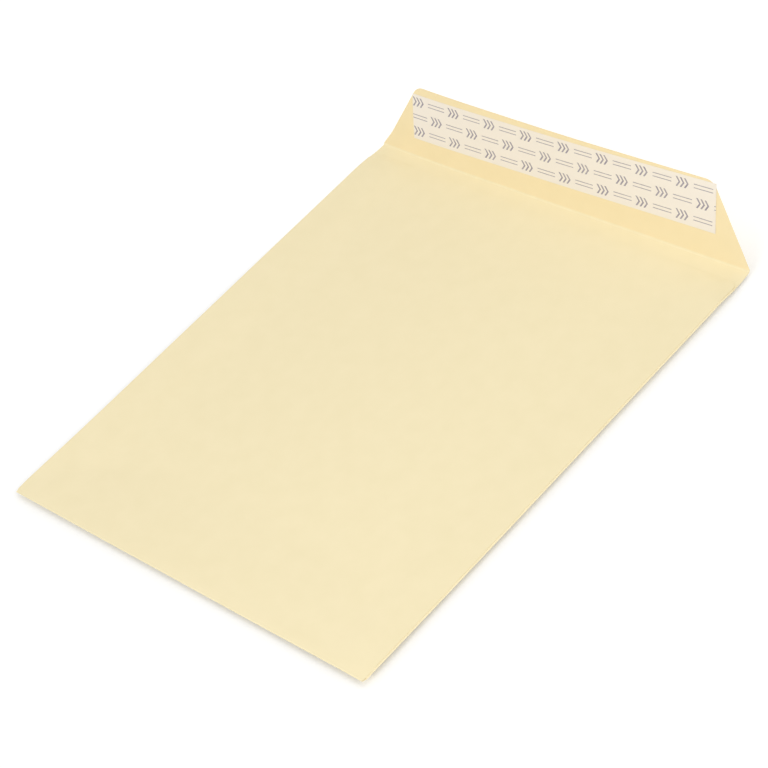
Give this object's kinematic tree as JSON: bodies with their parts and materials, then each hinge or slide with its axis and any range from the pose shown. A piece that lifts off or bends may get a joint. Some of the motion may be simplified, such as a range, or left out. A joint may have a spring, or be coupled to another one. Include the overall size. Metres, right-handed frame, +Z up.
{
  "type": "paper envelope",
  "caption": "Open-end pocket envelope folded from cream paper, flap raised, with a peel-off liner over its self-seal strip.",
  "frame": {"origin": "middle of the pocket's resting face, on the outside of the front panel", "axes": "+X across the pocket, +Y up the pocket towards its mouth and flap, +Z up from the surface it lies on"},
  "size_m": [0.254, 0.3179, 0.0421],
  "materials": {
    "envelope_paper": "matte",
    "seam_gum": "matte",
    "adhesive": "glossy",
    "liner_paper": "satin"
  },
  "bodies": {
    "root": {"envelope_blank": "envelope_paper", "side_seam_gum_left": "seam_gum", "side_seam_gum_right": "seam_gum", "adhesive_strip": "adhesive", "release_liner": "liner_paper"}
  },
  "joints": []
}
